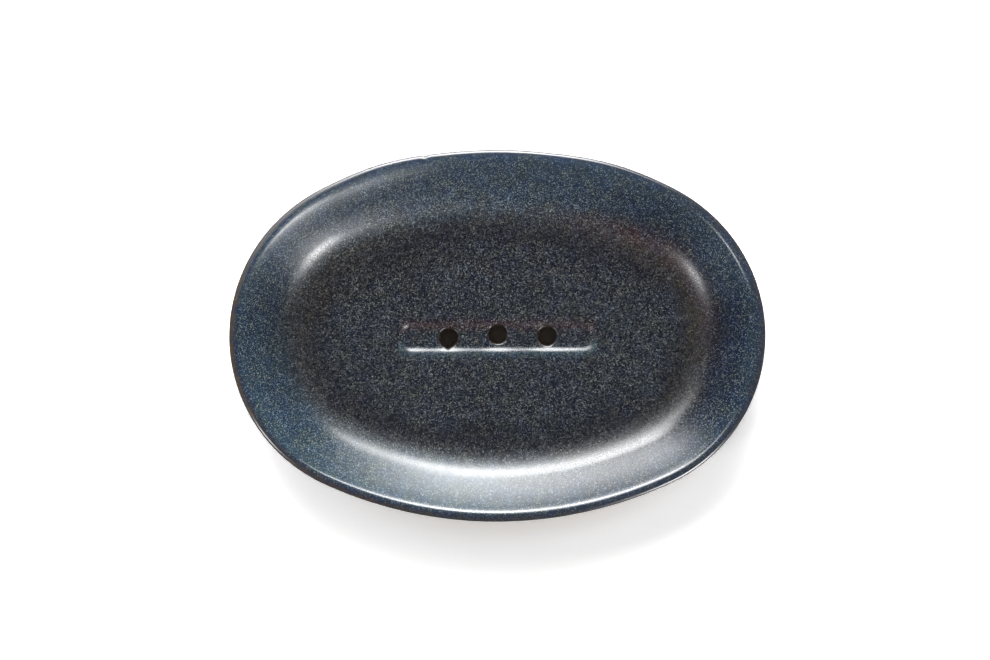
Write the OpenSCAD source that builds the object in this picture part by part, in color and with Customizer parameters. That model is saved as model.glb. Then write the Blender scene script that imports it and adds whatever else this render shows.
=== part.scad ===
// Oval soap dish: one piece of glazed stoneware on a foot ring, with a drain trough.
// Millimetres, +Z up, long axis along X. The origin is on the table, under the centre.

/* [Outline] */
// Length over the lip
dish_length = 140; // [125:1:165]
// Width over the lip
dish_width = 97.1; // [88.1:1:108.1]
// How much further the long sides bulge than the round ends
side_bulge = 6.05; // [4.05:0.25:10.05]

/* [Bowl] */
// Height of the lip above the table
dish_height = 19; // [17:0.5:24]
// Thickness of the wall, which ends in a fully rounded lip
wall_thickness = 3.8; // [3:0.1:5]
// Slope of the wall just inside the lip, in degrees
wall_slope = 41; // [38:1:46]
// Slope at which the wall runs into the cove, in degrees
cove_slope = 31; // [27:1:34]
// Radius of the cove between the wall and the floor
cove_radius = 16; // [11:0.5:20]
// Fall of the floor from the cove to the middle, in degrees
floor_fall = 1.5; // [0.5:0.25:3]
// Thickness of the floor in the middle, beside the trough
floor_thickness = 5.5; // [4.5:0.25:7]

/* [Foot ring] */
// Height of the hollow inside the foot ring
foot_recess = 4; // [2.5:0.25:5.5]
// Width of the flat band that stands on the table
foot_contact = 3; // [2:0.25:6]
// Slope of the wall's underside where the foot ring starts, in degrees
foot_slope = 10; // [7:1:18]
// Lean of both sides of the foot ring, in degrees from upright
foot_draft = 8; // [3:1:14]
// Radius where the foot ring runs into the wall and the floor
foot_fillet = 2; // [1:0.25:2.5]
// Radius of the foot ring's lower edges
foot_edge = 1.2; // [0.6:0.1:1.6]

/* [Drain trough] */
// Length of the trough over its banks
trough_length = 53; // [44:1:60]
// Width of the trough over its banks
trough_width = 8.4; // [7.6:0.2:11]
// Depth of the trough below the floor
trough_depth = 0.7; // [0.5:0.1:1.5]
// Width of the sloping bank round the trough, seen from above
trough_bank = 1.8; // [1.6:0.1:3]

/* [Drain holes] */
// Number of holes in the row
hole_count = 3; // [1:1:4]
// Diameter of a hole
hole_diameter = 4.9; // [4:0.1:6]
// Distance between the centres of two holes
hole_pitch = 13; // [11:0.25:14]
// How far a hand-punched hole strays from the row
hole_drift = 0.45; // [0:0.05:0.6]
// Radius of the glazed edge at both ends of a hole
hole_edge = 0.5; // [0.3:0.1:0.8]

/* [Hidden] */
$fn = 180;

// How far a row of straight cuts may stray from the arc that it stands for
arc_error = 0.02;
// The step to which the points of a section are rounded, so that two sweeps meet exactly
drawing_step = 0.001;
// How far a cutter reaches past the surface that it opens
overrun = 1;
// How far a sweep runs on past its arc before it is cut to it, in degrees
sweep_margin = 5;
// Slope at which a cutter's rounded edge meets a surface, in degrees
edge_slope = 8;
// Which way each hole strays, as a share of hole_drift
drift_shares = [-1, 1, 0, -1];

// The outline has four arcs: a narrow one at each end and a wide one on each side. They join
// on the lines through their centres, which lie on the long axis and across it.
end_radius = dish_width / 2 - side_bulge;
end_x = dish_length / 2 - end_radius;
side_y = (pow(end_x, 2) / side_bulge - side_bulge) / 2;
side_radius = dish_width / 2 + side_y;
side_angle = atan(end_x / side_y);
end_angle = 90 - side_angle;
join_steps = 1 + ceil(dish_length / (side_radius - end_radius));
join_far = [end_x, 0] + join_steps * [end_x, side_y];

// The section is drawn as [distance in from the lip's outer edge, height].
lip_radius = wall_thickness / 2;
lip_centre = [lip_radius, dish_height - lip_radius];
floor_height = foot_recess + floor_thickness;
cove_end_reach = end_radius - lip_radius * (1 + sin(wall_slope))
    - cove_radius * (sin(cove_slope) - sin(floor_fall));
cove_end_drop = dish_height - lip_radius * (1 - cos(wall_slope))
    - cove_radius * (cos(floor_fall) - cos(cove_slope));
wall_radius = (cove_end_drop - floor_height - cove_end_reach * tan(floor_fall))
    / (cos(cove_slope) - cos(wall_slope)
        - (sin(wall_slope) - sin(cove_slope)) * tan(floor_fall));
wall_centre = turned(lip_centre, lip_radius + wall_radius, wall_slope);
cove_centre = turned(wall_centre, wall_radius - cove_radius, 180 + cove_slope);

// The foot ring hangs from the underside of the cove.
foot_side = 90 - foot_draft;
foot_root = turned(cove_centre, cove_radius + wall_thickness + foot_fillet, 180 + foot_slope);
foot_outer = turned(foot_root, foot_fillet, foot_side);
outer_edge_centre = [
    foot_outer[0] + (foot_edge + (foot_outer[1] - foot_edge) * sin(foot_draft)) / cos(foot_draft),
    foot_edge
];
inner_edge_centre = outer_edge_centre + [foot_contact, 0];
recess_fillet = min(foot_fillet, foot_recess - foot_edge);
recess_corner_height = foot_recess - recess_fillet;
recess_corner = [
    inner_edge_centre[0] + (foot_edge + recess_fillet
        + (recess_corner_height - foot_edge) * sin(foot_draft)) / cos(foot_draft),
    recess_corner_height
];

// The trough's bank is two equal arcs, a hollow one below a rounded one.
bank_slope = 2 * atan(trough_depth / trough_bank);
bank_radius = trough_bank / (2 * sin(bank_slope));
trough_floor = floor_height - trough_depth;

// The point at a distance from a centre, with the angle turned inwards from straight up.
function turned(centre, distance, angle) = centre + distance * [sin(angle), cos(angle)];

// The number of straight cuts that an arc needs.
function cuts(radius, span) = max(2, ceil(abs(span) / (2 * acos(1 - arc_error / radius))));

// An arc as points, from one angle to another.
function arc(centre, radius, from, to) = let (n = cuts(radius, to - from))
    [for (i = [0 : n]) turned(centre, radius, from + (to - from) * i / n)];

// The whole section, from the middle of the floor over the lip and under the foot ring.
function dish_section() = concat(
    [[end_radius, floor_height]],
    arc(cove_centre, cove_radius, 180 + floor_fall, 180 + cove_slope),
    arc(wall_centre, wall_radius, 180 + cove_slope, 180 + wall_slope),
    arc(lip_centre, lip_radius, wall_slope, 0),
    arc(lip_centre, lip_radius, 0, -90),
    arc(lip_centre, lip_radius, -90, wall_slope - 180),
    arc(wall_centre, wall_radius + wall_thickness, 180 + wall_slope, 180 + cove_slope),
    arc(cove_centre, cove_radius + wall_thickness, 180 + cove_slope, 180 + foot_slope),
    arc(foot_root, foot_fillet, foot_slope, foot_side),
    arc(outer_edge_centre, foot_edge, 180 + foot_side, 180),
    arc(inner_edge_centre, foot_edge, 180, 180 - foot_side),
    arc(recess_corner, recess_fillet, -foot_side, 0),
    [[end_radius, foot_recess]]
);

// Points rounded to the drawing step, without those that repeat the point before them.
function drawn(points) = let (
    rounded = [for (p = points) [for (c = p) round(c / drawing_step) * drawing_step]]
) [
    for (i = [0 : len(rounded) - 1])
        if (i == 0 || norm(rounded[i] - rounded[i - 1]) > drawing_step / 2) rounded[i]
];

// The section, swept about an arc's centre a little further than the arc goes. Its floor
// and its underside run on level, from the arcs' inner ends to past the long axis.
module section_sweep(radius, level_run, middle, half_angle) {
    inner = radius - end_radius - level_run;
    level = level_run > 0 ? [[inner, foot_recess], [inner, floor_height]] : [];
    rotate_extrude(start = middle - half_angle - sweep_margin, angle = 2 * (half_angle + sweep_margin))
        polygon(concat([for (p = drawn(dish_section())) [radius - p[0], p[1]]], level));
}

// A sweep cut to its own stretch of the plan.
module cut_to(plan) {
    intersection() {
        children();
        translate([0, 0, -overrun])
            linear_extrude(dish_height + 2 * overrun)
                polygon(plan);
    }
}

module narrow_end() {
    cut_to([[end_x, 0], [join_far[0], -join_far[1]], join_far])
        translate([end_x, 0, 0])
            section_sweep(end_radius, 0, 0, end_angle);
}

module long_side() {
    cut_to([[-end_x, 0], [end_x, 0], join_far, [-join_far[0], join_far[1]]])
        translate([0, -side_y, 0])
            section_sweep(side_radius, 2 * side_bulge, 90, side_angle);
}

module swept_oval() {
    for (turn = [0, 180])
        rotate([0, 0, turn]) {
            narrow_end();
            long_side();
        }
}

// Half of the trough's section: its flat bottom, its bank and a run out over the floor.
function trough_half_section() = let (
    rim = turned([trough_width / 2, floor_height - bank_radius], bank_radius, -edge_slope)
) concat(
    [[0, trough_floor]],
    arc([trough_width / 2 - trough_bank, trough_floor + bank_radius], bank_radius,
        180, 180 - bank_slope),
    arc([trough_width / 2, floor_height - bank_radius], bank_radius, -bank_slope, -edge_slope),
    [
        rim + [overrun / tan(edge_slope), overrun],
        [0, rim[1] + overrun]
    ]
);

module trough_cutter() {
    run = trough_length / 2 - trough_width / 2;
    half = drawn(trough_half_section());
    rotate([90, 0, 90])
        translate([0, 0, -run])
            linear_extrude(2 * run)
                polygon(concat(half, [for (i = [len(half) - 2 : -1 : 1]) [-half[i][0], half[i][1]]]));
    for (end = [0, 180])
        rotate([0, 0, end])
            translate([run, 0, 0])
                rotate_extrude(start = -90, angle = 180)
                    polygon(half);
}

// The rounded edge at one end of a hole, opening upwards from the given height.
module hole_edge_cutter(height) {
    edge = arc([hole_diameter / 2 + hole_edge, height - hole_edge], hole_edge, -90, -edge_slope);
    mouth = edge[len(edge) - 1];
    rotate_extrude()
        polygon(concat(
            [[0, height - hole_edge]],
            edge,
            [
                mouth + [hole_edge, hole_edge * tan(edge_slope)],
                [0, mouth[1] + hole_edge * tan(edge_slope)]
            ]
        ));
}

module drain_hole() {
    translate([0, 0, foot_recess - overrun])
        cylinder(h = floor_thickness + 2 * overrun, d = hole_diameter);
    hole_edge_cutter(trough_floor);
    translate([0, 0, foot_recess])
        mirror([0, 0, 1])
            hole_edge_cutter(0);
}

module drain_holes() {
    for (i = [0 : hole_count - 1])
        translate([(i - (hole_count - 1) / 2) * hole_pitch, drift_shares[i] * hole_drift, 0])
            drain_hole();
}

module dish() {
    color("#3b4857")
        difference() {
            swept_oval();
            trough_cutter();
            drain_holes();
        }
}

dish();
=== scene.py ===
"""Oval soap dish of glazed stoneware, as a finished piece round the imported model.

The shape is worked out in millimetres and written in metres. The dish stands on the table at
z = 0 with its long axis along X, and the photograph looks straight down on it. An inset is a
distance in from the lip's outer edge, and an azimuth is in degrees from +X towards the back.
"""

import math

import bpy
import numpy as np
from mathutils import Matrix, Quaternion, Vector, noise
from mathutils.geometry import delaunay_2d_cdt


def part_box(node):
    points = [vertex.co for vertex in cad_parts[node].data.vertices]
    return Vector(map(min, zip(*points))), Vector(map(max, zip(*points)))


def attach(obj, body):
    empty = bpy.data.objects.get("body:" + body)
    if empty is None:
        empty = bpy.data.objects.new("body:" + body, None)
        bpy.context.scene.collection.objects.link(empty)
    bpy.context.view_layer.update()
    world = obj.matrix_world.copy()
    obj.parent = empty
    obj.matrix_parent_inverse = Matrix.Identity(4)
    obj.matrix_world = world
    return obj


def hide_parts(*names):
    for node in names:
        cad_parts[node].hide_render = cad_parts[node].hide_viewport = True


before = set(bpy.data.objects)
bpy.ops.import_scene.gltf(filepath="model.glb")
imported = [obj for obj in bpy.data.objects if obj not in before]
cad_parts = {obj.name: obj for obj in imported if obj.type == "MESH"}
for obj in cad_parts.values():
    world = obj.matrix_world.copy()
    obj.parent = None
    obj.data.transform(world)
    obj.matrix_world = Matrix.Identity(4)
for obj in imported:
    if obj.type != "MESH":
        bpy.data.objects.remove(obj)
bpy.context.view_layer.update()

MM = 0.001

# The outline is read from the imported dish, a hair smaller so that the piece stays in its box.
CLEARANCE = 0.01
_, box_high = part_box("dish")
HALF_LENGTH = box_high.x / MM - CLEARANCE
HALF_WIDTH = box_high.y / MM - CLEARANCE
HEIGHT = box_high.z / MM

# The section's sizes, in millimetres and degrees.
SIDE_BULGE = 6.05
WALL = 3.8
LIP_CREST = 1.15
LIP_INNER_RADIUS = 3.1
LIP_OUTER_RADIUS = 1.9
LIP_OUTER_SLOPE = 30
WALL_SLOPE = 38
COVE_SLOPE = 32.5
COVE_RADIUS = 16
FLOOR_FALL = 1.5
FLOOR_HEIGHT = 9.5
FOOT_RECESS = 4
FOOT_CONTACT = 3
FOOT_SLOPE = 10
FOOT_DRAFT = 8
FOOT_FILLET = 2
FOOT_EDGE = 1.2

# The trough, whose plan is a slot with flattened ends.
TROUGH_LENGTH = 52.4
TROUGH_WIDTH = 8.9
TROUGH_DEPTH = 0.62
TROUGH_BANK = 2.3
TROUGH_Y = -0.3
TROUGH_SQUARE = 3
TROUGH_RUN = (TROUGH_LENGTH - TROUGH_WIDTH) / 2
TROUGH_BOTTOM = TROUGH_WIDTH / 2 - TROUGH_BANK

# Where the trough is deeper than its least share: the middle, the half width, and how much.
TROUGH_LEAST = 0.69
TROUGH_DEEPER = [(-22, 3, 0.17), (-12.85, 3.2, 0.31), (0.1, 3.4, 0.31), (13.1, 4, 0.31), (19, 3, 0.1)]

# The holes, and how each differs from a circle, since they are punched by hand: shares of the
# radius for an oval and a three-cornered form, each with the azimuth to which it points.
HOLES = [(-12.85, -0.5), (0.1, 0.4), (13.1, -0.1)]
HOLE_RADIUS = 2.45
HOLE_EDGE = 0.5
HOLE_FORMS = [(0.012, 70, 0.012, 20), (0.010, 40, 0.014, 80), (0.014, 10, 0.008, 50)]

# The notch in one of the holes, its size in degrees and millimetres.
NOTCHED_HOLE = 0
NOTCH_AZIMUTH = 268
NOTCH_HALF_WIDTH = 9
NOTCH_DEPTH = 0.32

# A small nick in the back of the lip, left of the middle: its size, the insets between which it
# fades out, and the heights between which it begins.
NICK_X = -18.8
NICK_HALF_WIDTH = 0.75
NICK_DEPTH = 0.3
NICK_INSETS = (0.6, 3.2)
NICK_HEIGHTS = (15.5, 17.5)

# The unevenness of the hand-made lip and wall: how much it is, the size of its humps, and the
# heights between which all that follows here grows from nothing.
LIP_UNEVEN = 0.1
LIP_HUMPS_IN = 26
LIP_HUMPS_DOWN = 31
WALL_UNEVEN = 0.05
WALL_HUMPS = 11
UNEVEN_HEIGHTS = (6, 15)

# How much fuller the lip is on its inside at the back left, and the insets between which this
# begins and fades out.
LIP_FULLER = 0.36
LIP_FULLER_AZIMUTH = 134
LIP_FULLER_HALF_WIDTH = 28
LIP_FULLER_FROM = (2.2, 4.3)
LIP_FULLER_TO = (5, 11)

# How far the lip reaches out on both sides of the back, where the outline is fuller than its
# arcs: the azimuth and its half width, and the reach. It fades out between the two insets.
SHOULDERS = [(124, 15, 0.7), (54, 14, 0.56)]
SHOULDER_INSETS = (1.5, 6)

# The mesh: the steps along the section and round the outline, the inset at which the sweep ends
# and the middle begins, the rings of a hole with the one round which its glaze is worn, and the
# distances between the loose points.
STEP = 0.95
ARC_STEP = 6
COLUMNS_PER_ARC = 100
NICK_COLUMN_STEP = 0.2
CORE_INSET = 34
HOLE_STEPS = 56
HOLE_EDGE_RINGS = 8
HOLE_WALL_RINGS = 6
WORN_RING = 5.5
WORN_RINGS = 2.5
TROUGH_STEP = 0.5
TROUGH_RINGS = 11
TROUGH_RINGS_REACH = 1.15
FLOOR_STEP = 1.0
UNDER_STEP = 1.3

# How far the loose points keep from the sweep, from the trough's rings and from the holes.
FLOOR_TO_SWEEP = 0.5
UNDER_TO_SWEEP = 0.6
RINGS_TO_BOTTOM = 0.25
RINGS_TO_FLOOR = 0.4
HOLE_TO_FLOOR = 0.12
HOLE_TO_UNDER = 0.4


def smooth_step(low, high, value):
    """0 below low, 1 above high, and a smooth rise in between."""
    share = np.clip((np.asarray(value, float) - low) / (high - low), 0, 1)
    return share * share * (3 - 2 * share)


def fade(low, high, value):
    """1 below low, 0 above high, and a smooth fall in between."""
    return smooth_step(high, low, value)


def bump(value, middle, half_width):
    """1 at the middle, and a smooth fall to 0 on both sides."""
    return np.exp(-(((np.asarray(value, float) - middle) / half_width) ** 2))


def around(azimuth, middle, half_width):
    """1 in one direction, and a smooth fall to 0 on both sides of it, in degrees."""
    return bump((azimuth - middle + 180) % 360, 180, half_width)


def turned(centre, distance, degrees):
    """The point at a distance from a centre, with the angle turned inwards from straight up."""
    angle = math.radians(degrees)
    return np.array([centre[0] + distance * math.sin(angle), centre[1] + distance * math.cos(angle)])


def arc(centre, radius, start, stop):
    """Points along an arc of the section, without its last one."""
    span = abs(stop - start)
    count = max(math.ceil(radius * math.radians(span) / STEP), math.ceil(span / ARC_STEP))
    return [turned(centre, radius, start + (stop - start) * i / count) for i in range(count)]


def line(start, stop):
    """Points along a straight stretch of the section, without its last one."""
    start, stop = np.array(start, float), np.array(stop, float)
    count = max(1, math.ceil(np.linalg.norm(stop - start) / STEP))
    return [start + (stop - start) * i / count for i in range(count)]


# The outline's four arcs: a narrow one at each end and a wide one on each side.
END_RADIUS = HALF_WIDTH - SIDE_BULGE
END_X = HALF_LENGTH - END_RADIUS
SIDE_Y = (END_X**2 / SIDE_BULGE - SIDE_BULGE) / 2
SIDE_RADIUS = HALF_WIDTH + SIDE_Y
SIDE_ANGLE = math.degrees(math.atan2(END_X, SIDE_Y))

# On the bowl's side, the lip runs into a wall that meets the cove without a kink.
INNER_LIP = np.array([LIP_CREST, HEIGHT - LIP_INNER_RADIUS])


def wall_arc():
    """The radius and the centre of the wall's arc, which fits between the lip and the cove."""
    top = turned(INNER_LIP, LIP_INNER_RADIUS, WALL_SLOPE)
    fall, cove, wall = (math.radians(a) for a in (FLOOR_FALL, COVE_SLOPE, WALL_SLOPE))
    reach = END_RADIUS - top[0] - COVE_RADIUS * (math.sin(cove) - math.sin(fall))
    drop = top[1] - FLOOR_HEIGHT - COVE_RADIUS * (math.cos(fall) - math.cos(cove))
    radius = (drop - reach * math.tan(fall)) / (
        math.cos(cove) - math.cos(wall) - (math.sin(wall) - math.sin(cove)) * math.tan(fall)
    )
    return radius, turned(INNER_LIP, LIP_INNER_RADIUS + radius, WALL_SLOPE)


WALL_RADIUS, WALL_CENTRE = wall_arc()
COVE_CENTRE = turned(WALL_CENTRE, WALL_RADIUS - COVE_RADIUS, 180 + COVE_SLOPE)

# Over its crest the lip falls gently outwards and ends in a tight edge.
OUTER_LIP = np.array([LIP_CREST, HEIGHT - LIP_OUTER_RADIUS])
OUTER_END = turned(OUTER_LIP, LIP_OUTER_RADIUS, -LIP_OUTER_SLOPE)
EDGE_RADIUS = OUTER_END[0] / (1 - math.sin(math.radians(LIP_OUTER_SLOPE)))
LIP_EDGE = turned(OUTER_LIP, LIP_OUTER_RADIUS - EDGE_RADIUS, -LIP_OUTER_SLOPE)

# Below its widest point the lip turns in to the underside of the wall.
UNDER_WALL = turned(WALL_CENTRE, WALL_RADIUS + WALL, 180 + WALL_SLOPE)
UNDER_RADIUS = UNDER_WALL[0] / (1 - math.sin(math.radians(WALL_SLOPE)))
UNDER_LIP = np.array([UNDER_RADIUS, UNDER_WALL[1] + UNDER_RADIUS * math.cos(math.radians(WALL_SLOPE))])


def bowl_section():
    """The section as (inset, height), from the floor over the lip to its widest point."""
    floor_start = (CORE_INSET, floor_level(CORE_INSET))
    return (
        line(floor_start, turned(COVE_CENTRE, COVE_RADIUS, 180 + FLOOR_FALL))
        + arc(COVE_CENTRE, COVE_RADIUS, 180 + FLOOR_FALL, 180 + COVE_SLOPE)
        + arc(WALL_CENTRE, WALL_RADIUS, 180 + COVE_SLOPE, 180 + WALL_SLOPE)
        + arc(INNER_LIP, LIP_INNER_RADIUS, WALL_SLOPE, 0)
        + arc(OUTER_LIP, LIP_OUTER_RADIUS, 0, -LIP_OUTER_SLOPE)
        + arc(LIP_EDGE, EDGE_RADIUS, -LIP_OUTER_SLOPE, -90)
    )


def under_section():
    """The section as (inset, height), from the lip's widest point under the foot to the recess."""
    foot_side = 90 - FOOT_DRAFT
    lean, upright = math.sin(math.radians(FOOT_DRAFT)), math.cos(math.radians(FOOT_DRAFT))
    root = turned(COVE_CENTRE, COVE_RADIUS + WALL + FOOT_FILLET, 180 + FOOT_SLOPE)
    outer = turned(root, FOOT_FILLET, foot_side)
    outer_inset = outer[0] + (FOOT_EDGE + (outer[1] - FOOT_EDGE) * lean) / upright
    outer_edge = np.array([outer_inset, FOOT_EDGE])
    inner_edge = outer_edge + [FOOT_CONTACT, 0]
    corner_height = FOOT_RECESS - FOOT_FILLET
    corner = inner_edge + [
        (FOOT_EDGE + FOOT_FILLET + (corner_height - FOOT_EDGE) * lean) / upright,
        corner_height - FOOT_EDGE,
    ]
    recess = np.array([CORE_INSET, FOOT_RECESS])
    return (
        line((0, LIP_EDGE[1]), (0, UNDER_LIP[1]))
        + arc(UNDER_LIP, UNDER_RADIUS, -90, WALL_SLOPE - 180)
        + arc(WALL_CENTRE, WALL_RADIUS + WALL, 180 + WALL_SLOPE, 180 + COVE_SLOPE)
        + arc(COVE_CENTRE, COVE_RADIUS + WALL, 180 + COVE_SLOPE, 180 + FOOT_SLOPE)
        + arc(root, FOOT_FILLET, FOOT_SLOPE, foot_side)
        + line(outer, turned(outer_edge, FOOT_EDGE, 180 + foot_side))
        + arc(outer_edge, FOOT_EDGE, 180 + foot_side, 180)
        + line(outer_edge - [0, FOOT_EDGE], inner_edge - [0, FOOT_EDGE])
        + arc(inner_edge, FOOT_EDGE, 180, 180 - foot_side)
        + line(
            turned(inner_edge, FOOT_EDGE, 180 - foot_side),
            turned(corner, FOOT_FILLET, -foot_side),
        )
        + arc(corner, FOOT_FILLET, -foot_side, 0)
        + line(turned(corner, FOOT_FILLET, 0), recess)
        + [recess]
    )


def outline_columns():
    """Each column of the sweep as (centre x, centre y, radius, direction x, direction y), with
    columns close together at the nick."""
    arcs = [
        (END_X, 0, END_RADIUS, SIDE_ANGLE - 90, 90 - SIDE_ANGLE),
        (0, -SIDE_Y, SIDE_RADIUS, 90 - SIDE_ANGLE, 90 + SIDE_ANGLE),
        (-END_X, 0, END_RADIUS, 90 + SIDE_ANGLE, 270 - SIDE_ANGLE),
        (0, SIDE_Y, SIDE_RADIUS, 270 - SIDE_ANGLE, 270 + SIDE_ANGLE),
    ]
    nick = 90 - math.degrees(math.asin(NICK_X / SIDE_RADIUS))
    reach = math.degrees(2.5 * NICK_HALF_WIDTH / SIDE_RADIUS)
    fine = math.degrees(NICK_COLUMN_STEP / SIDE_RADIUS)
    columns = []
    for x, y, radius, start, stop in arcs:
        angles = np.linspace(start, stop, COLUMNS_PER_ARC, endpoint=False)
        if start < nick < stop:
            angles = angles[np.abs(angles - nick) > reach + fine]
            angles = np.sort(np.concatenate([angles, np.arange(nick - reach, nick + reach, fine)]))
        for angle in np.radians(angles):
            columns.append((x, y, radius, math.cos(angle), math.sin(angle)))
    return np.array(columns)


def drift(x, y, size, seed):
    """Smooth unevenness from 0 to 1 over the plan, with humps of about the given size."""
    humps = [noise.noise(Vector((a / size, b / size, seed))) for a, b in zip(x, y)]
    return 0.5 + 0.5 * np.array(humps)


def unevenness(x, y, inset, height):
    """How far each point of the sweep moves inwards and down."""
    lift = smooth_step(*UNEVEN_HEIGHTS, height)
    inwards = LIP_UNEVEN * drift(x, y, LIP_HUMPS_IN, 3.1) * lift
    lip_down = LIP_UNEVEN * drift(x, y, LIP_HUMPS_DOWN, 7.7)
    down = (lip_down + WALL_UNEVEN * drift(x, y, WALL_HUMPS, 1.4)) * lift
    azimuth = np.degrees(np.arctan2(y, x))
    for middle, half_width, reach in SHOULDERS:
        inwards -= reach * around(azimuth, middle, half_width) * fade(*SHOULDER_INSETS, inset) * lift
    fuller = LIP_FULLER * around(azimuth, LIP_FULLER_AZIMUTH, LIP_FULLER_HALF_WIDTH)
    down = down - fuller * smooth_step(*LIP_FULLER_FROM, inset) * fade(*LIP_FULLER_TO, inset) * lift
    at_nick = bump(x, NICK_X, NICK_HALF_WIDTH) * (y > 0) * smooth_step(*NICK_HEIGHTS, height)
    inwards = inwards + NICK_DEPTH * at_nick * fade(*NICK_INSETS, inset)
    return inwards, down


def swept_ring(columns, inset, height):
    """The points of the sweep at one place of the section."""
    x, y, radius, along_x, along_y = columns.T
    ring_x = x + (radius - inset) * along_x
    ring_y = y + (radius - inset) * along_y
    inwards, down = unevenness(ring_x, ring_y, np.full(len(x), inset), np.full(len(x), height))
    return np.column_stack([ring_x - inwards * along_x, ring_y - inwards * along_y, height - down])


def inset_of(x, y):
    """How far a point of the plan lies in from the lip's outer edge."""
    x, y = np.abs(x), np.abs(y)
    on_side = x * SIDE_Y < END_X * (y + SIDE_Y)
    return np.where(
        on_side,
        SIDE_RADIUS - np.hypot(x, y + SIDE_Y),
        END_RADIUS - np.hypot(x - END_X, y),
    )


def floor_level(inset):
    """The height of the floor without its trough."""
    return FLOOR_HEIGHT + np.maximum(END_RADIUS - inset, 0) * math.tan(math.radians(FLOOR_FALL))


def squared(x, y):
    """A distance that is the same all round a circle with flattened sides."""
    return (np.abs(x) ** TROUGH_SQUARE + np.abs(y) ** TROUGH_SQUARE) ** (1 / TROUGH_SQUARE)


def trough_distance(x, y):
    """The distance from the trough's middle line."""
    return squared(np.maximum(np.abs(x) - TROUGH_RUN, 0), y - TROUGH_Y)


def trough_share(x):
    """How deep the trough is along its length: deepest at the holes, and shallow between them."""
    deeper = sum(more * bump(x, middle, half_width) for middle, half_width, more in TROUGH_DEEPER)
    return TROUGH_LEAST + deeper


def trough_drop(x, y):
    """How far the trough sinks below the floor: a bank of two equal arcs round a flat bottom."""
    slope = 2 * math.atan(TROUGH_DEPTH / TROUGH_BANK)
    radius = TROUGH_BANK / (2 * math.sin(slope))
    outwards = trough_distance(x, y) - TROUGH_BOTTOM
    rise = radius - np.sqrt(radius**2 - np.clip(outwards, 0, TROUGH_BANK / 2) ** 2)
    rest = np.clip(TROUGH_BANK - outwards, 0, TROUGH_BANK / 2)
    rounded = radius - np.sqrt(radius**2 - rest**2)
    return np.where(outwards < TROUGH_BANK / 2, TROUGH_DEPTH - rise, rounded) * trough_share(x)


def floor_surface(x, y):
    """The height of the floor with its trough, without the holes."""
    return floor_level(inset_of(x, y)) - trough_drop(x, y)


def hole_radius(index, angle):
    """The radius of a hole in a direction."""
    oval, oval_turn, corner, corner_turn = HOLE_FORMS[index]
    radius = HOLE_RADIUS * (
        1
        + oval * np.cos(2 * (angle - math.radians(oval_turn)))
        + corner * np.cos(3 * (angle - math.radians(corner_turn)))
    )
    if index == NOTCHED_HOLE:
        radius = radius + NOTCH_DEPTH * bump(np.degrees(angle), NOTCH_AZIMUTH, NOTCH_HALF_WIDTH)
    return radius


def hole_rings(index):
    """The rings of a hole from the floor down through its wall to the underside."""
    x, y = HOLES[index]
    angle = np.linspace(0, 2 * math.pi, HOLE_STEPS, endpoint=False)
    radius = hole_radius(index, angle)

    def ring(outwards):
        return x + (radius + outwards) * np.cos(angle), y + (radius + outwards) * np.sin(angle)

    rings = []
    turns = np.radians(np.linspace(0, 90, HOLE_EDGE_RINGS))
    for turn in turns:
        ring_x, ring_y = ring(HOLE_EDGE * (1 - math.sin(turn)))
        height = floor_surface(ring_x, ring_y) - HOLE_EDGE * (1 - math.cos(turn))
        rings.append((ring_x, ring_y, height))
    top = rings[-1][2]
    bottom = FOOT_RECESS + HOLE_EDGE
    for share in np.linspace(0, 1, HOLE_WALL_RINGS + 1)[1:]:
        ring_x, ring_y = ring(0)
        rings.append((ring_x, ring_y, top + (bottom - top) * share))
    for turn in turns[-2::-1]:
        ring_x, ring_y = ring(HOLE_EDGE * (1 - math.sin(turn)))
        height = np.full(HOLE_STEPS, FOOT_RECESS + HOLE_EDGE * (1 - math.cos(turn)))
        rings.append((ring_x, ring_y, height))
    return [np.column_stack(r) for r in rings]


def clear_of_holes(points, margin):
    """Whether each point keeps a margin from the rounded edges of the holes."""
    clear = np.ones(len(points), bool)
    for x, y in HOLES:
        clear &= np.hypot(points[:, 0] - x, points[:, 1] - y) > HOLE_RADIUS + HOLE_EDGE + margin
    return clear


def grid(spacing):
    """Points of a triangular grid over the plan."""
    row_step = spacing * math.sqrt(3) / 2
    rows = math.ceil(HALF_WIDTH / row_step)
    across = math.ceil(HALF_LENGTH / spacing)
    points = [
        ((i + 0.5 * (j % 2)) * spacing, j * row_step)
        for j in range(-rows, rows + 1)
        for i in range(-across, across + 1)
    ]
    return np.array(points)


def trough_ring(distance):
    """Points on the line at a distance from the trough's middle line."""
    straight = 2 * TROUGH_RUN
    count = round(straight / TROUGH_STEP)
    run = -TROUGH_RUN + straight * np.arange(count) / count
    turns = max(8, round(math.pi * distance / TROUGH_STEP))
    angle = -math.pi / 2 + math.pi * np.arange(turns) / turns
    reach = distance / squared(np.cos(angle), np.sin(angle))
    half = np.concatenate([
        np.column_stack([run, np.full(count, -distance)]),
        np.column_stack([TROUGH_RUN + reach * np.cos(angle), reach * np.sin(angle)]),
    ])
    return np.concatenate([half, -half]) + [0, TROUGH_Y]


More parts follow.
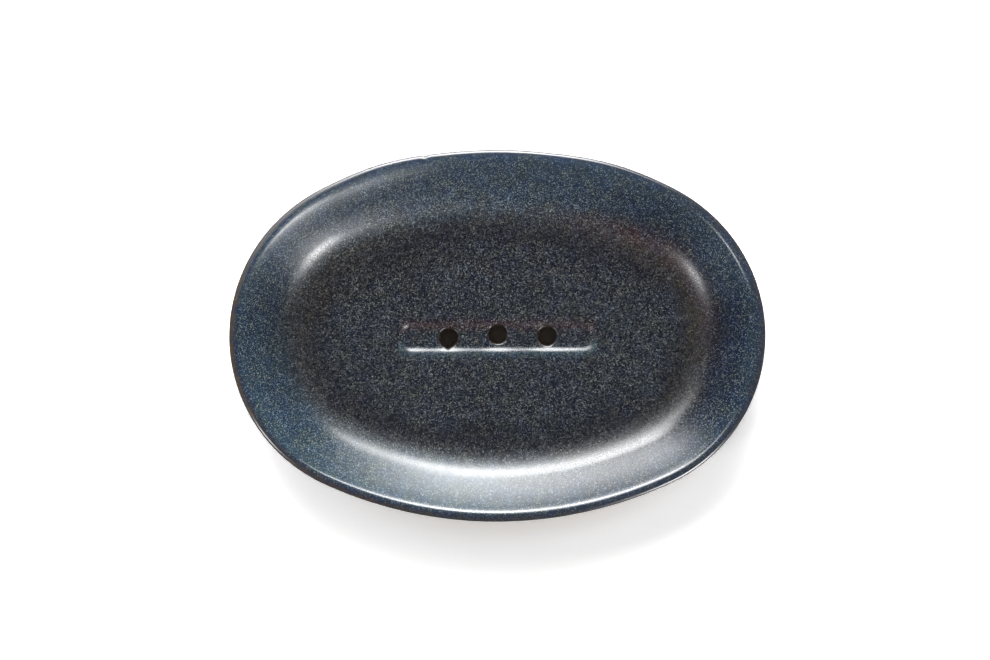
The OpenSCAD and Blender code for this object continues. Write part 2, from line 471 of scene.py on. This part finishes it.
def top_points():
    """Points between the sweep and the holes: close together on the trough's bank."""
    shares = np.linspace(0, TROUGH_RINGS_REACH, TROUGH_RINGS)
    rings = [trough_ring(TROUGH_BOTTOM + TROUGH_BANK * share) for share in shares]
    inner = grid(TROUGH_STEP)
    inner = inner[trough_distance(*inner.T) < TROUGH_BOTTOM - RINGS_TO_BOTTOM]
    outer = grid(FLOOR_STEP)
    last_ring = TROUGH_BOTTOM + TROUGH_RINGS_REACH * TROUGH_BANK
    past_rings = trough_distance(*outer.T) > last_ring + RINGS_TO_FLOOR
    outer = outer[past_rings & (inset_of(*outer.T) > CORE_INSET + FLOOR_TO_SWEEP)]
    points = np.concatenate(rings + [inner, outer])
    return points[clear_of_holes(points, HOLE_TO_FLOOR)]


def under_points():
    """Points between the sweep and the holes on the underside."""
    points = grid(UNDER_STEP)
    points = points[inset_of(*points.T) > CORE_INSET + UNDER_TO_SWEEP]
    return points[clear_of_holes(points, HOLE_TO_UNDER)]


def in_hole(points, centre, loop):
    """Whether each point lies inside the loop of a hole, whose corners are at even angles."""
    offset = points - centre
    corners = loop - centre
    angle = np.arctan2(offset[:, 1], offset[:, 0]) % (2 * math.pi)
    sector = (angle / (2 * math.pi) * len(loop)).astype(int) % len(loop)
    side = np.roll(corners, -1, axis=0)[sector] - corners[sector]
    reach = offset - corners[sector]
    return side[:, 0] * reach[:, 1] - side[:, 1] * reach[:, 0] > 0


def fill(loops, loose):
    """Triangles between loops and loose points of the plan, as numbers into these in that order.
    The first loop is the sweep's, and the others are those of the holes."""
    everything = np.concatenate(loops + [loose])
    borders = []
    start = 0
    for loop in loops:
        borders += [(start + i, start + (i + 1) % len(loop)) for i in range(len(loop))]
        start += len(loop)
    result = delaunay_2d_cdt([Vector(p) for p in everything.tolist()], borders, [], 0, 1e-7)
    own_number = [origins[0] for origins in result[3]]
    faces = np.array([[own_number[i] for i in face] for face in result[2]])
    middles = everything[faces].mean(axis=1)
    outside = np.ones(len(faces), bool)
    for centre, loop in zip(HOLES, loops[1:]):
        outside &= ~in_hole(middles, centre, loop)
    return faces[outside]


def band(first, second, count):
    """Four-sided faces between two loops of points that start at the given numbers."""
    step = np.arange(count)
    following = (step + 1) % count
    corners = [first + step, first + following, second + following, second + step]
    return np.column_stack(corners).tolist()


class Shell:
    """The dish's points and faces, with each point's inset, which is negative on the underside,
    and its share of a hole's edge."""

    def __init__(self):
        self.points = []
        self.insets = []
        self.hole_edges = []
        self.faces = []
        self.count = 0

    def add(self, points, insets, hole_edge=0.0):
        """Adds points, and returns the number of the first one."""
        first = self.count
        self.points.append(points)
        self.insets.append(insets)
        self.hole_edges.append(np.full(len(points), hole_edge))
        self.count += len(points)
        return first


def add_sweep(shell):
    """Adds the sweep round the outline. Returns its first and its last ring, each as its plan
    and the number of its first point."""
    columns = outline_columns()
    count = len(columns)
    bowl, under = bowl_section(), under_section()
    rings = []
    for i, (inset, height) in enumerate(bowl + under):
        ring = swept_ring(columns, inset, height)
        first = shell.add(ring, np.full(count, inset if i < len(bowl) else -inset))
        rings.append((ring[:, :2], first))
        if i:
            shell.faces += band(first, first - count, count)
    return rings[0], rings[-1]


def add_hole(shell, index):
    """Adds a hole's edges and wall. Returns its first and its last ring, as for the sweep."""
    rings = []
    for i, ring in enumerate(hole_rings(index)):
        plan = ring[:, :2]
        first = shell.add(ring, inset_of(*plan.T), bump(i, WORN_RING, WORN_RINGS))
        rings.append((plan, first))
        if i:
            shell.faces += band(first - HOLE_STEPS, first, HOLE_STEPS)
    return rings[0], rings[-1]


def add_middle(shell, rings, loose, height, side):
    """Closes the middle between the rings of the sweep and the holes. The side is 1 on top and
    -1 on the underside."""
    x, y = loose.T
    first_loose = shell.add(np.column_stack([x, y, height]), side * inset_of(x, y))
    numbers = [first + np.arange(len(plan)) for plan, first in rings]
    numbers = np.concatenate(numbers + [first_loose + np.arange(len(loose))])
    triangles = numbers[fill([plan for plan, first in rings], loose)]
    shell.faces += triangles[:, ::side].tolist()


def build_dish():
    """The whole dish as one closed mesh, with the values that its glaze reads."""
    shell = Shell()
    ends = [add_sweep(shell)] + [add_hole(shell, i) for i in range(len(HOLES))]
    top_rings, under_rings = (list(rings) for rings in zip(*ends))
    top, under = top_points(), under_points()
    add_middle(shell, top_rings, top, floor_surface(*top.T), 1)
    add_middle(shell, under_rings, under, np.full(len(under), float(FOOT_RECESS)), -1)

    points, insets = np.concatenate(shell.points), np.concatenate(shell.insets)
    mesh = bpy.data.meshes.new("glazed_dish")
    mesh.from_pydata((points * MM).tolist(), [], shell.faces)
    mesh.validate()
    mesh.shade_smooth()
    add_values(mesh, "inset", insets)
    add_glaze_masks(mesh, points, insets, np.concatenate(shell.hole_edges))
    dish = bpy.data.objects.new("glazed_dish", mesh)
    bpy.context.scene.collection.objects.link(dish)
    return dish


def add_values(mesh, name, values):
    """Keeps one number for each point of the mesh."""
    layer = mesh.attributes.new(name, "FLOAT", "POINT")
    layer.data.foreach_set("value", np.asarray(values, np.float32))


# How far to each side of the middle the trough's banks are tinted.
BANK_TINT_REACH = 26

# The heights between which the foot turns from bare clay to glaze.
BARE_HEIGHTS = (0.45, 0.75)


def add_glaze_masks(mesh, points, insets, hole_edges):
    """Where the glaze changes its tint, its grains or its gloss, as shares from 0 to 1. Most
    places are a band of insets over a range of azimuths. The back mask is painted light: it
    makes the back wall paler, standing in for fill light from the front, and the grainy mask
    carries it on in paler grains there."""
    x, y, z = points.T
    azimuth = np.degrees(np.arctan2(y, x)) % 360
    on_banks = np.abs(x) < BANK_TINT_REACH
    back_bank = bump(trough_distance(x, y), 3.2, 1.3) * smooth_step(0.2, 1.6, y) * on_banks
    front_bank = bump(trough_distance(x, y), 4.0, 1.2) * fade(-2.0, -0.4, y) * on_banks
    right_back = around(azimuth, 30, 25)
    # How far towards the back a point lies, for the painted fill light on the back wall.
    back = smooth_step(5, 26, y)
    front = around(azimuth, 255, 62) * smooth_step(1.5, 3, insets)
    front_left = around(azimuth, 246, 50) * smooth_step(1.5, 3, insets) * fade(12, 18, insets)
    lip_inside = smooth_step(1.2, 1.8, insets) * fade(3.6, 5, insets)
    masks = {
        "rust": bump(insets, 15.2, 3.3) * around(azimuth, 30, 27) + 0.85 * back_bank,
        "olive": bump(insets, 18, 2.6) * around(azimuth, 8, 35) * 0.8,
        "brown": bump(insets, 19, 7) * around(azimuth, 158, 28),
        "mauve": smooth_step(14, 20, insets) * smooth_step(4, 22, y) * 0.5,
        # Painted light: a paler back wall in place of fill light from the front.
        "back": back * fade(10, 19, insets) * (1 - 0.8 * right_back),
        "pale": front_left + 0.5 * front_bank,
        # Paler grains on the back and front walls; on the back wall they are part of the painted fill
        # light.
        "grainy": np.maximum(back, front) * fade(13, 22, insets) * (1 - 0.6 * right_back),
        "soft": (around(azimuth, 134, 36) + 0.6 * around(azimuth, 30, 22)) * lip_inside,
        "dull": around(azimuth, 152, 20) * fade(1.0, 1.6, insets),
    }
    on_top = insets > 0
    for name, mask in masks.items():
        add_values(mesh, name, np.clip(mask, 0, 1) * on_top)
    worn_lip = bump(insets, 0.4, 0.7) * (0.25 + 0.75 * around(azimuth, 190, 60))
    add_values(mesh, "worn", np.clip(worn_lip + 0.8 * hole_edges, 0, 1))
    add_values(mesh, "bare", fade(*BARE_HEIGHTS, z))


class Nodes:
    """Short calls for the nodes of one material, lamp or world."""

    def __init__(self, tree):
        self.tree = tree
        tree.nodes.clear()

    def add(self, kind, **settings):
        made = self.tree.nodes.new(kind)
        for name, value in settings.items():
            setattr(made, name, value)
        return made

    def put(self, socket, value):
        """Links a socket to another one, or gives it a plain value."""
        if isinstance(value, bpy.types.NodeSocket):
            self.tree.links.new(value, socket)
        elif isinstance(value, tuple) and len(value) == 3 and socket.type == "RGBA":
            socket.default_value = (*value, 1)
        else:
            socket.default_value = value

    def noise(self, where, scale, detail, roughness):
        made = self.add("ShaderNodeTexNoise")
        self.put(made.inputs["Vector"], where)
        made.inputs["Scale"].default_value = scale
        made.inputs["Detail"].default_value = detail
        made.inputs["Roughness"].default_value = roughness
        return made.outputs["Fac"]

    def cells(self, where, scale):
        """Two random numbers for each cell of a pattern."""
        made = self.add("ShaderNodeTexVoronoi", feature="F1")
        self.put(made.inputs["Vector"], where)
        made.inputs["Scale"].default_value = scale
        split = self.add("ShaderNodeSeparateColor")
        self.put(split.inputs["Color"], made.outputs["Color"])
        return split.outputs[0], split.outputs[1]

    def ramp(self, value, low, high, start=0.0, stop=1.0, smooth=False):
        kind = "SMOOTHSTEP" if smooth else "LINEAR"
        made = self.add("ShaderNodeMapRange", interpolation_type=kind)
        self.put(made.inputs["Value"], value)
        made.inputs["From Min"].default_value = low
        made.inputs["From Max"].default_value = high
        made.inputs["To Min"].default_value = start
        made.inputs["To Max"].default_value = stop
        return made.outputs["Result"]

    def maths(self, operation, first, second, clamp=False):
        made = self.add("ShaderNodeMath", operation=operation, use_clamp=clamp)
        self.put(made.inputs[0], first)
        self.put(made.inputs[1], second)
        return made.outputs[0]

    def mix(self, share, first, second, blend="MIX"):
        made = self.add("ShaderNodeMix", data_type="RGBA", blend_type=blend)
        self.put(made.inputs["Factor"], share)
        self.put(made.inputs[6], first)
        self.put(made.inputs[7], second)
        return made.outputs[2]

    def value(self, name):
        """A number that the mesh keeps for each of its points."""
        return self.add("ShaderNodeAttribute", attribute_name=name).outputs["Fac"]


# The dark ground of the glaze and its pale grains, as linear light.
CREST_GROUND = (0.022, 0.032, 0.056)
RIM_GROUND = (0.011, 0.028, 0.054)
WALL_GROUND = (0.001, 0.009, 0.029)
COVE_GROUND = (0.001, 0.002, 0.008)
FLOOR_GROUND = (0.004, 0.007, 0.015)
RIM_GRAIN = (0.27, 0.31, 0.32)
COVE_GRAIN = (0.12, 0.122, 0.125)
FLOOR_GRAIN = (0.225, 0.245, 0.245)
STRONG_GRAIN = (0.38, 0.45, 0.46)
TINTS = {
    # The back tint is painted light: a paler blue on the back wall in place of fill light from the
    # front.
    "back": (0.036, 0.060, 0.100),
    "brown": (0.005, 0.003, 0.003),
    "mauve": (0.004, 0.003, 0.009),
    "rust": (0.030, 0.005, 0.011),
    "olive": (0.009, 0.007, 0.002),
    "pale": (0.046, 0.094, 0.130),
}
WORN_BROWN = (0.095, 0.062, 0.032)
CLAY = (0.42, 0.31, 0.21)
DARK_CLAY = tuple(0.72 * c for c in CLAY)

# What the glaze's colour is multiplied by from place to place.
WARM = (1.11, 1.04, 0.86)
COLD = (0.89, 0.97, 1.14)

# Grains for each metre, and how few of them are pale.
GRAINS = 4800
GRAIN_POWER = 8

# The glaze's patterns, in humps for each metre.
BLOTCHES = 75
CLOUDS = 230
MOTTLE = 480
FINE = 3200

# How far the blotches shift the ground's colours in or out, in millimetres.
WANDER = 7

# The satin gloss: the roughness of the lip and the wall, that of the cove and the floor, what
# each is changed by, and the height of the floor's fine relief in millimetres.
WALL_ROUGHNESS = 0.235
FLOOR_ROUGHNESS = 0.34
GRAIN_ROUGHER = 0.09
LIP_SMOOTHER = 0.07
MIDDLE_SMOOTHER = 0.05
SOFT_ROUGHER = 0.15
DULL_ROUGHER = 0.3
CLAY_ROUGHNESS = 0.9
GLAZE_IOR = 1.85
GLAZE_RELIEF = 0.02


def glaze_ground(n, inset, depth, mottle):
    """The ground's colour, from the lip's crest in to the floor, with its tints over it, of which the
    back tint is painted fill light.
    """
    ground = n.mix(n.ramp(inset, 1.4, 2.8, smooth=True), CREST_GROUND, RIM_GROUND)
    ground = n.mix(n.ramp(depth, 2.5, 8, smooth=True), ground, WALL_GROUND)
    ground = n.mix(n.ramp(depth, 8, 15, smooth=True), ground, COVE_GROUND)
    ground = n.mix(n.ramp(depth, 17, 27, smooth=True), ground, FLOOR_GROUND)
    patchy = n.ramp(mottle, 0.3, 0.6, 0.4, 1.0)
    for name, tint in TINTS.items():
        ground = n.mix(n.maths("MULTIPLY", n.value(name), patchy), ground, tint)
    return ground


def glaze_grains(n, ground, grain, inset, depth, mottle):
    """The pale grains over the ground, fewer of them on the lip, and paler where the grainy mask is,
    which on the back wall is painted fill light.
    """
    grain_colour = n.mix(n.ramp(depth, 4, 13, smooth=True), RIM_GRAIN, COVE_GRAIN)
    grain_colour = n.mix(n.ramp(depth, 20, 29, smooth=True), grain_colour, FLOOR_GRAIN)
    grain_colour = n.mix(n.value("grainy"), grain_colour, STRONG_GRAIN)
    off_lip = n.ramp(inset, 0.8, 3.0, 0.35, 1.0)
    pale = n.maths("MULTIPLY", n.maths("POWER", grain, GRAIN_POWER), off_lip)
    pale = n.maths("MULTIPLY", pale, n.ramp(mottle, 0.3, 0.7, 0.8, 1.2))
    return n.mix(pale, ground, grain_colour)


def glaze_roughness(n, grain, inset, coarse, bare):
    """The roughness, which differs from grain to grain inside the lip."""
    by_grain = n.ramp(grain, 0, 1, -GRAIN_ROUGHER, GRAIN_ROUGHER)
    uneven = n.maths("MULTIPLY", by_grain, n.ramp(inset, 3.2, 7.0, 0.0, 1.0))
    rough = n.maths("ADD", n.ramp(coarse, 0, 1, WALL_ROUGHNESS, FLOOR_ROUGHNESS), uneven)
    rough = n.maths("SUBTRACT", rough, n.ramp(inset, 2.8, 5.0, LIP_SMOOTHER, 0.0))
    rough = n.maths("SUBTRACT", rough, n.ramp(inset, 18, 23, 0.0, MIDDLE_SMOOTHER))
    rough = n.maths("ADD", rough, n.maths("MULTIPLY", n.value("soft"), SOFT_ROUGHER))
    rough = n.maths("ADD", rough, n.maths("MULTIPLY", n.value("dull"), DULL_ROUGHER))
    return n.maths("MAXIMUM", rough, n.maths("MULTIPLY", bare, CLAY_ROUGHNESS))


def glaze_material():
    """Satin reactive glaze: blue where it is thin, grey-brown where it pools, finely speckled, with
    painted fill light that makes the back wall paler.
    """
    material = bpy.data.materials.new("reactive_glaze")
    material.use_nodes = True
    n = Nodes(material.node_tree)
    place = n.add("ShaderNodeTexCoord").outputs["Object"]
    inset = n.value("inset")
    bare = n.value("bare")
    mottle = n.noise(place, MOTTLE, detail=3, roughness=0.6)
    fine = n.noise(place, FINE, detail=1, roughness=0.5)
    clouds = n.noise(place, CLOUDS, detail=3, roughness=0.6)
    blotches = n.noise(place, BLOTCHES, detail=3, roughness=0.55)
    grain, hue = n.cells(place, GRAINS)
    depth = n.maths("ADD", inset, n.ramp(blotches, 0, 1, -WANDER, WANDER))

    ground = glaze_ground(n, inset, depth, mottle)
    colour = glaze_grains(n, ground, grain, inset, depth, mottle)
    hue = n.maths("ADD", n.ramp(hue, 0, 1, -0.5, 0.5), n.ramp(clouds, 0.35, 0.65), clamp=True)
    colour = n.mix(1.0, colour, n.mix(hue, WARM, COLD), blend="MULTIPLY")
    worn = n.maths("MULTIPLY", n.value("worn"), n.ramp(mottle, 0.35, 0.6, 0.3, 1.0))
    colour = n.mix(worn, colour, WORN_BROWN)
    colour = n.mix(bare, colour, n.mix(n.ramp(fine, 0.3, 0.7), CLAY, DARK_CLAY))

    coarse = n.ramp(inset, 11, 17, 0.0, 1.0, smooth=True)
    raised = n.add("ShaderNodeBump")
    raised.inputs["Strength"].default_value = 1.0
    raised.inputs["Distance"].default_value = GLAZE_RELIEF * MM
    n.put(raised.inputs["Height"], n.maths("MULTIPLY", fine, n.ramp(coarse, 0, 1, 0.2, 1.0)))

    shader = n.add("ShaderNodeBsdfPrincipled")
    n.put(shader.inputs["Base Color"], colour)
    n.put(shader.inputs["Roughness"], glaze_roughness(n, grain, inset, coarse, bare))
    n.put(shader.inputs["Normal"], raised.outputs["Normal"])
    shader.inputs["IOR"].default_value = GLAZE_IOR
    n.put(n.add("ShaderNodeOutputMaterial").inputs["Surface"], shader.outputs["BSDF"])
    return material


# The table's colour. The camera and reflections see it whiter, and more so away from the dish,
# which is soonest at the dish's ends. Near the dish it is seen darker and warmer, which is a
# painted shadow round the dish, and under the dish it is darker still and brown, which is painted
# shade seen through the holes. The distances of the three colours are shares of the
# dish's half length and half width, and SHADOW_X is in metres.
TABLE_COLOUR = 0.88
# The colours under and near the dish are lower than far away, which paints shade under and round the
# dish.
SEEN_UNDER_PAINTED_SHADE = (1.1, 0.9, 0.75)
SEEN_NEAR_PAINTED_SHADE = (1.53, 1.455, 1.385)
SEEN_FAR = (1.98, 1.96, 1.95)
UNDER_TO_NEAR = (0.6, 0.9)
NEAR_TO_FAR = (1.0, 1.19)
SHADOW_X = 0.002
SHADOW_LENGTH = 0.86


def floor_material():
    """A pale table that is white for the camera and keeps the dish's shadow, with painted shade seen
    near the dish and under it.
    """
    material = bpy.data.materials.new("pale_table")
    material.use_nodes = True
    n = Nodes(material.node_tree)
    place = n.add("ShaderNodeTexCoord").outputs["Object"]
    centred = n.add("ShaderNodeVectorMath", operation="SUBTRACT")
    n.put(centred.inputs[0], place)
    centred.inputs[1].default_value = (SHADOW_X, 0, 0)
    stretch = n.add("ShaderNodeVectorMath", operation="MULTIPLY")
    n.put(stretch.inputs[0], centred.outputs["Vector"])
    half_length, half_width = SHADOW_LENGTH * HALF_LENGTH * MM, HALF_WIDTH * MM
    stretch.inputs[1].default_value = (1 / half_length, 1 / half_width, 0)
    length = n.add("ShaderNodeVectorMath", operation="LENGTH")
    n.put(length.inputs[0], stretch.outputs["Vector"])
    # Painted shade: the table is seen darker and warmer near the dish, and darker and brown under it.
    near_painted_shade = n.mix(n.ramp(length.outputs["Value"], *UNDER_TO_NEAR), SEEN_UNDER_PAINTED_SHADE, SEEN_NEAR_PAINTED_SHADE)
    away = n.ramp(length.outputs["Value"], *NEAR_TO_FAR, smooth=True)
    rays = n.add("ShaderNodeLightPath").outputs
    seen = n.maths("MAXIMUM", rays["Is Camera Ray"], rays["Is Glossy Ray"])
    seen = n.maths("MAXIMUM", seen, rays["Is Transmission Ray"])
    pale = n.mix(away, near_painted_shade, SEEN_FAR)
    diffuse = n.add("ShaderNodeBsdfDiffuse")
    n.put(diffuse.inputs["Color"], n.mix(seen, (TABLE_COLOUR,) * 3, pale))
    n.put(n.add("ShaderNodeOutputMaterial").inputs["Surface"], diffuse.outputs["BSDF"])
    return material


# The table's size and the lamps' distance from the dish, in metres.
FLOOR_SIZE = 16.0
LAMP_DISTANCE = 0.9


def build_floor():
    """The table under the dish."""
    half = FLOOR_SIZE / 2
    mesh = bpy.data.meshes.new("table_top")
    corners = [(-half, -half, 0), (half, -half, 0), (half, half, 0), (-half, half, 0)]
    mesh.from_pydata(corners, [], [(0, 1, 2, 3)])
    mesh.materials.append(floor_material())
    table = bpy.data.objects.new("table_top", mesh)
    bpy.context.scene.collection.objects.link(table)
    return table


def fade_edges(lamp, core_width, core_height):
    """Lets a lamp's light fade to its edges, from a core that is given as shares of its half
    width and half height."""
    lamp.use_nodes = True
    n = Nodes(lamp.node_tree)
    split = n.add("ShaderNodeSeparateXYZ")
    n.put(split.inputs[0], n.add("ShaderNodeNewGeometry").outputs["Parametric"])
    strength = 4 / ((1 + core_width) * (1 + core_height))
    for axis, core in (("X", core_width), ("Y", core_height)):
        from_middle = n.maths("ABSOLUTE", n.ramp(split.outputs[axis], 0, 1, -1, 1), 0.0)
        strength = n.maths("MULTIPLY", n.ramp(from_middle, core, 1, 1, 0, smooth=True), strength)
    glow = n.add("ShaderNodeEmission")
    n.put(glow.inputs["Strength"], strength)
    n.put(n.add("ShaderNodeOutputLight").inputs["Surface"], glow.outputs["Emission"])


def soft_box(name, azimuth, elevation, half_width, half_height, share, core, tilt=0):
    """A rectangular lamp that faces the dish, its place and size in degrees as seen from there.
    Its share is the light that it gives a white floor."""
    angle, rise = math.radians(azimuth), math.radians(elevation)
    lamp = bpy.data.lights.new(name, "AREA")
    lamp.shape = "RECTANGLE"
    lamp.size = 2 * LAMP_DISTANCE * math.tan(math.radians(half_width))
    lamp.size_y = 2 * LAMP_DISTANCE * math.tan(math.radians(half_height))
    lamp.energy = share * math.pi**2 * LAMP_DISTANCE**2 / math.sin(rise)
    level = math.cos(rise)
    towards = Vector((math.cos(angle) * level, math.sin(angle) * level, math.sin(rise)))
    fade_edges(lamp, *core)
    holder = bpy.data.objects.new(name, lamp)
    holder.location = towards * LAMP_DISTANCE
    holder.rotation_mode = "QUATERNION"
    facing = towards.to_track_quat("Z", "Y")
    holder.rotation_quaternion = Quaternion(towards, math.radians(tilt)) @ facing
    holder.visible_camera = False
    bpy.context.scene.collection.objects.link(holder)


def light_scene():
    """A wide strip behind the dish with panels round it, and small boxes in front. Each has its
    azimuth, elevation, half width and half height in degrees, and then its share."""
    soft_box("back_high", 116, 56, 20, 7, 0.12, core=(0.2, 0.3))
    soft_box("back_strip", 97, 41, 25, 9.3, 0.50, core=(0.3, 0.75), tilt=15)
    soft_box("back_side", 77, 47, 15, 6.5, 0.11, core=(0.1, 0.6))
    soft_box("back_panel", 102, 26, 33, 4, 0.095, core=(0.2, 0.5))
    soft_box("right_box", 306, 44, 12, 11, 0.22, core=(0.3, 0.3))
    soft_box("right_low", 304, 28, 22, 10, 0.03, core=(0.1, 0.1))
    soft_box("left_box", 216, 50, 5, 9, 0.075, core=(0.3, 0.3))


# The room's light, low down and straight up.
ROOM_LOW = 0.13
ROOM_HIGH = 0.03


def light_room():
    """A dim room, darkest overhead."""
    world = bpy.data.worlds.new("room")
    bpy.context.scene.world = world
    world.use_nodes = True
    n = Nodes(world.node_tree)
    split = n.add("ShaderNodeSeparateXYZ")
    n.put(split.inputs[0], n.add("ShaderNodeTexCoord").outputs["Generated"])
    level = n.ramp(split.outputs["Z"], 0.5, 0.95, ROOM_LOW, ROOM_HIGH, smooth=True)
    back = n.add("ShaderNodeBackground")
    n.put(back.inputs["Strength"], level)
    n.put(n.add("ShaderNodeOutputWorld").inputs["Surface"], back.outputs["Background"])


# The camera looks straight down from this height over the lip, at the frame's measured width,
# in metres and radians. The sensor is in millimetres.
CAMERA_RISE = 1.1
FRAME_WIDTH = 0.2579
CAMERA_X = -0.0006
CAMERA_Y = 0.00155
CAMERA_ROLL = -0.004
SENSOR = 36


def add_camera():
    """The photograph's view from above."""
    data = bpy.data.cameras.new("camera")
    data.sensor_width = SENSOR
    data.lens = SENSOR * CAMERA_RISE / FRAME_WIDTH
    data.clip_end = 20
    camera = bpy.data.objects.new("camera", data)
    camera.location = (CAMERA_X, CAMERA_Y, HEIGHT * MM + CAMERA_RISE)
    camera.rotation_euler = (0, 0, CAMERA_ROLL)
    bpy.context.scene.collection.objects.link(camera)
    bpy.context.scene.camera = camera


dish = build_dish()
dish.data.materials.append(glaze_material())
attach(dish, "root")
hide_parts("dish")
build_floor()
light_scene()
light_room()
add_camera()
bpy.context.scene.view_settings.view_transform = "Standard"
